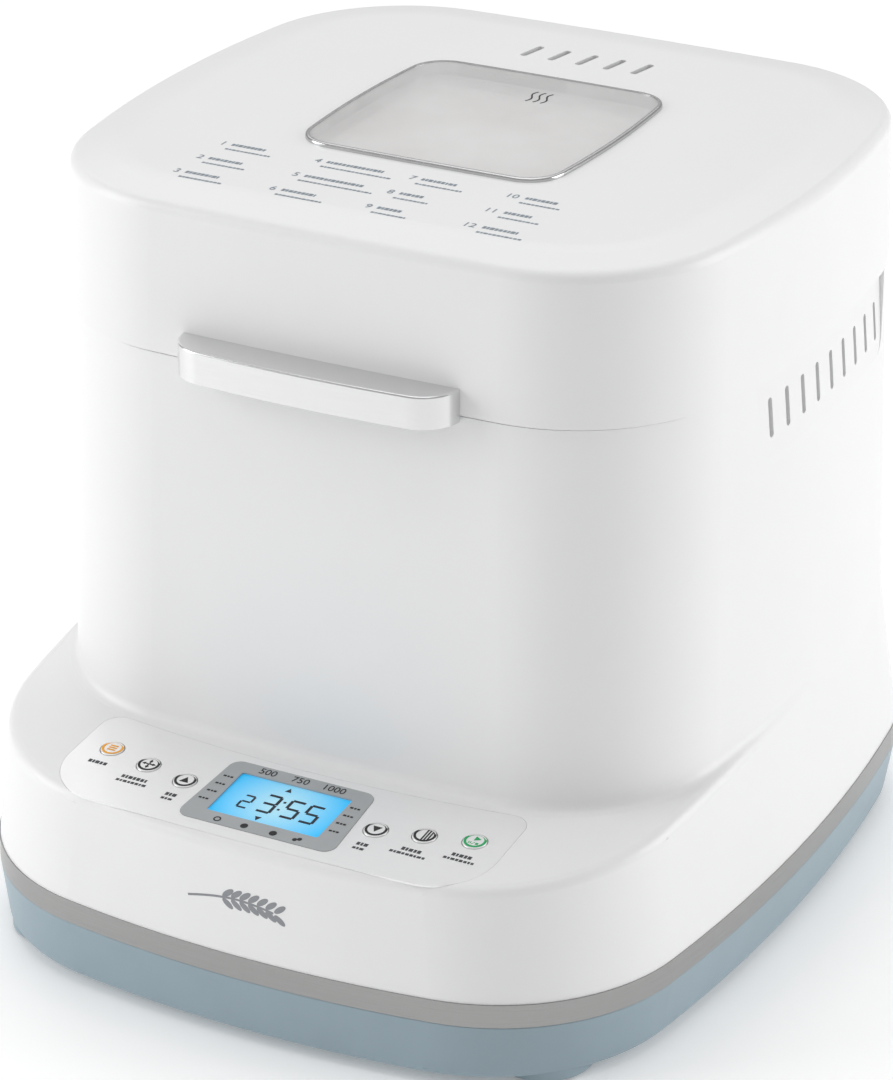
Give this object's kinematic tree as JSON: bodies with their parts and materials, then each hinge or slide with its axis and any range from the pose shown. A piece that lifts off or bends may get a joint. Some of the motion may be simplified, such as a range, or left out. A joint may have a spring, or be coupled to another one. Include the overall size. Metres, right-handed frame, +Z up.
{
  "type": "bread machine",
  "caption": "Countertop bread machine: hinged windowed lid over a baking chamber, lift-out pan with kneading paddle, belt drive and a sloping front control console.",
  "frame": {"origin": "centre of the footprint, level with the soles of the feet", "axes": "+Z up, -Y towards the user (control console side), +X to the user's right when facing the console"},
  "size_m": [0.2794, 0.315, 0.2808],
  "materials": {
    "white_plastic": "glossy",
    "blue_grey_plastic": "satin",
    "band_steel": "brushed",
    "rubber_black": "matte",
    "sheet_steel": "satin",
    "zinc_steel": "satin",
    "cast_aluminium": "satin",
    "bronze": "satin",
    "lamination_steel": "satin",
    "copper_winding": "lacquered",
    "black_plastic": "matte",
    "grey_plastic": "satin",
    "circuit_board": "solder mask",
    "component_mix": "matte",
    "display_blue": "backlit",
    "clear_lens": "clear",
    "window_glass": "clear",
    "panel_silver": "brushed lacquer",
    "handle_aluminium": "satin anodised",
    "chrome_trim": "polished",
    "nonstick_coating": "satin non-stick",
    "heater_alloy": "oxidised",
    "ceramic": "matte",
    "silicone": "matte",
    "belt_rubber": "matte",
    "nylon": "satin",
    "wire_insulation": "matte"
  },
  "bodies": {
    "housing": {"rubber_feet": "rubber_black", "base_tray": "blue_grey_plastic", "trim_band": "band_steel", "base_and_chassis_screws": "zinc_steel", "housing_shell": "white_plastic", "top_deck": "white_plastic", "cord_gland": "black_plastic", "hinge_brackets": "white_plastic", "hinge_pins": "zinc_steel", "baking_chamber": "sheet_steel", "chamber_pan_seat": "cast_aluminium", "heating_element": "heater_alloy", "heater_insulators": "ceramic", "heater_brackets": "zinc_steel", "temperature_sensors": "zinc_steel", "heat_shield": "sheet_steel", "chassis_plate": "zinc_steel", "bearing_housing": "cast_aluminium", "shaft_bushes": "bronze", "motor_stator": "lamination_steel", "motor_windings": "copper_winding", "motor_end_bells": "cast_aluminium", "motor_capacitor": "grey_plastic", "power_board": "circuit_board", "power_board_components": "component_mix", "control_board": "circuit_board", "key_switches": "black_plastic", "display_module": "display_blue", "display_lens": "clear_lens", "display_bezel": "grey_plastic", "control_panel_overlay": "panel_silver", "drive_belt": "belt_rubber", "heater_leads": "wire_insulation"},
    "lid": {"lid_shell": "white_plastic", "lid_inner_cover": "sheet_steel", "lid_ceiling_plate": "sheet_steel", "lid_seal": "silicone", "lid_handle": "handle_aluminium", "window_frame": "chrome_trim", "window_glass": "window_glass", "inner_glass": "window_glass"},
    "pan": {"bread_pan": "nonstick_coating", "pan_base": "cast_aluminium", "pan_bushing": "nylon", "pan_ears": "zinc_steel"},
    "pan_handle": {"pan_handle_wire": "zinc_steel", "pan_handle_grip": "black_plastic"},
    "paddle": {"kneading_paddle": "nonstick_coating", "pan_shaft": "zinc_steel"},
    "drive": {"drive_shaft": "zinc_steel", "drive_coupling": "cast_aluminium", "driven_pulley": "nylon"},
    "motor": {"motor_rotor": "lamination_steel", "motor_pulley": "cast_aluminium"},
    "key_menu_body": {"key_menu": "panel_silver"},
    "key_size_body": {"key_size": "panel_silver"},
    "key_time_up_body": {"key_time_up": "panel_silver"},
    "key_time_down_body": {"key_time_down": "panel_silver"},
    "key_colour_body": {"key_colour": "panel_silver"},
    "key_start_body": {"key_start": "panel_silver"}
  },
  "joints": [
    {"name": "lid_hinge", "type": "hinge", "parent": "housing", "child": "lid", "pos_m": [0, 0.1526, 0.222], "axis": [-1, 0, 0], "range_deg": [0, 80]},
    {"name": "pan_lift", "type": "slide", "parent": "housing", "child": "pan", "axis": [0, 0, 1], "range_m": [0, 0.05]},
    {"name": "pan_handle_hinge", "type": "hinge", "parent": "pan", "child": "pan_handle", "pos_m": [0, 0.026, 0.201], "axis": [-1, 0, 0], "range_deg": [0, 90]},
    {"name": "drive_spin", "type": "hinge", "parent": "housing", "child": "drive", "pos_m": [0, 0.026, 0.03], "axis": [0, 0, 1], "continuous": true},
    {"name": "motor_spin", "type": "hinge", "parent": "housing", "child": "motor", "pos_m": [0.04, -0.112, 0.03], "axis": [0, 0, 1], "continuous": true},
    {"name": "paddle_spin", "type": "hinge", "parent": "pan", "child": "paddle", "pos_m": [0, 0.026, 0.07], "axis": [0, 0, 1], "continuous": true},
    {"name": "key_menu_press", "type": "slide", "parent": "housing", "child": "key_menu_body", "axis": [0, 0.1064, -0.9943], "range_m": [0, 0.0008], "stiffness_N_per_m": 800},
    {"name": "key_size_press", "type": "slide", "parent": "housing", "child": "key_size_body", "axis": [0, 0.1064, -0.9943], "range_m": [0, 0.0008], "stiffness_N_per_m": 800},
    {"name": "key_time_up_press", "type": "slide", "parent": "housing", "child": "key_time_up_body", "axis": [0, 0.1064, -0.9943], "range_m": [0, 0.0008], "stiffness_N_per_m": 800},
    {"name": "key_time_down_press", "type": "slide", "parent": "housing", "child": "key_time_down_body", "axis": [0, 0.1064, -0.9943], "range_m": [0, 0.0008], "stiffness_N_per_m": 800},
    {"name": "key_colour_press", "type": "slide", "parent": "housing", "child": "key_colour_body", "axis": [0, 0.1064, -0.9943], "range_m": [0, 0.0008], "stiffness_N_per_m": 800},
    {"name": "key_start_press", "type": "slide", "parent": "housing", "child": "key_start_body", "axis": [0, 0.1064, -0.9943], "range_m": [0, 0.0008], "stiffness_N_per_m": 800}
  ],
  "couplings": [
    {"joint": "motor_spin", "follows": "drive_spin", "ratio": 5.1414},
    {"joint": "paddle_spin", "follows": "drive_spin", "ratio": 1}
  ]
}
